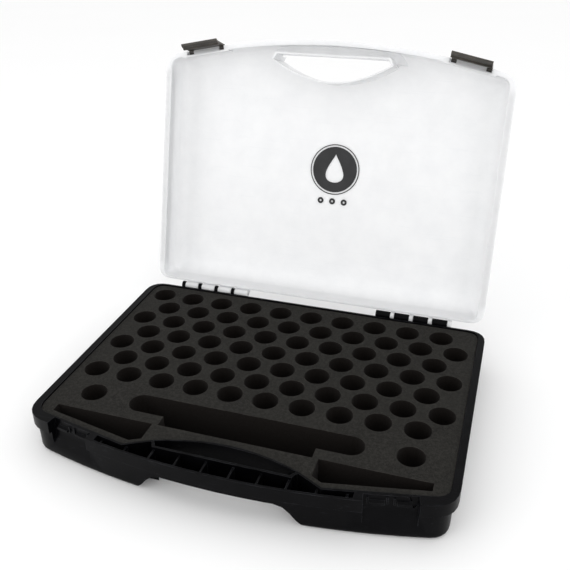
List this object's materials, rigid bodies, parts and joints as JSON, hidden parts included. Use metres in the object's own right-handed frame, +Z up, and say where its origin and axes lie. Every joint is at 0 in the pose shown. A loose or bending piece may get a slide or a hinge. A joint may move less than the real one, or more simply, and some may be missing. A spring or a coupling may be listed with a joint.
{
  "type": "carry case for hobby paint bottles",
  "caption": "Hinged two-shell plastic carry case with a drilled foam insert for dropper bottles, brush slot, tool trays, handle openings and snap latches.",
  "frame": {"origin": "middle of the base shell's flat underside, on the ground", "axes": "+X to the right seen from the handle side, +Y towards the hinges at the back, +Z up; the lid is modelled standing open"},
  "size_m": [0.4, 0.4117, 0.3232],
  "materials": {
    "black_plastic": "satin",
    "milky_plastic": "satin",
    "dark_foam": "matte",
    "latch_plastic": "satin",
    "pin_steel": "satin"
  },
  "bodies": {
    "base": {"base_shell": "black_plastic", "foam_insert": "dark_foam", "hinge_pin_left": "pin_steel", "hinge_pin_right": "pin_steel"},
    "lid": {"lid_shell": "milky_plastic", "latch_pin_left": "pin_steel", "latch_pin_right": "pin_steel"},
    "latch_left": {"latch_left": "latch_plastic"},
    "latch_right": {"latch_right": "latch_plastic"}
  },
  "joints": [
    {"name": "lid_hinge", "type": "hinge", "parent": "base", "child": "lid", "pos_m": [0, 0.1511, 0.042], "axis": [-1, 0, 0], "range_deg": [-106, 0]},
    {"name": "latch_left_pivot", "type": "hinge", "parent": "lid", "child": "latch_left", "pos_m": [-0.14771, 0.23352, 0.30585], "axis": [-0.9806, -0.054, -0.1883], "range_deg": [-7, 85]},
    {"name": "latch_right_pivot", "type": "hinge", "parent": "lid", "child": "latch_right", "pos_m": [0.14771, 0.23352, 0.30585], "axis": [-0.9806, 0.054, 0.1883], "range_deg": [-7, 85]}
  ]
}
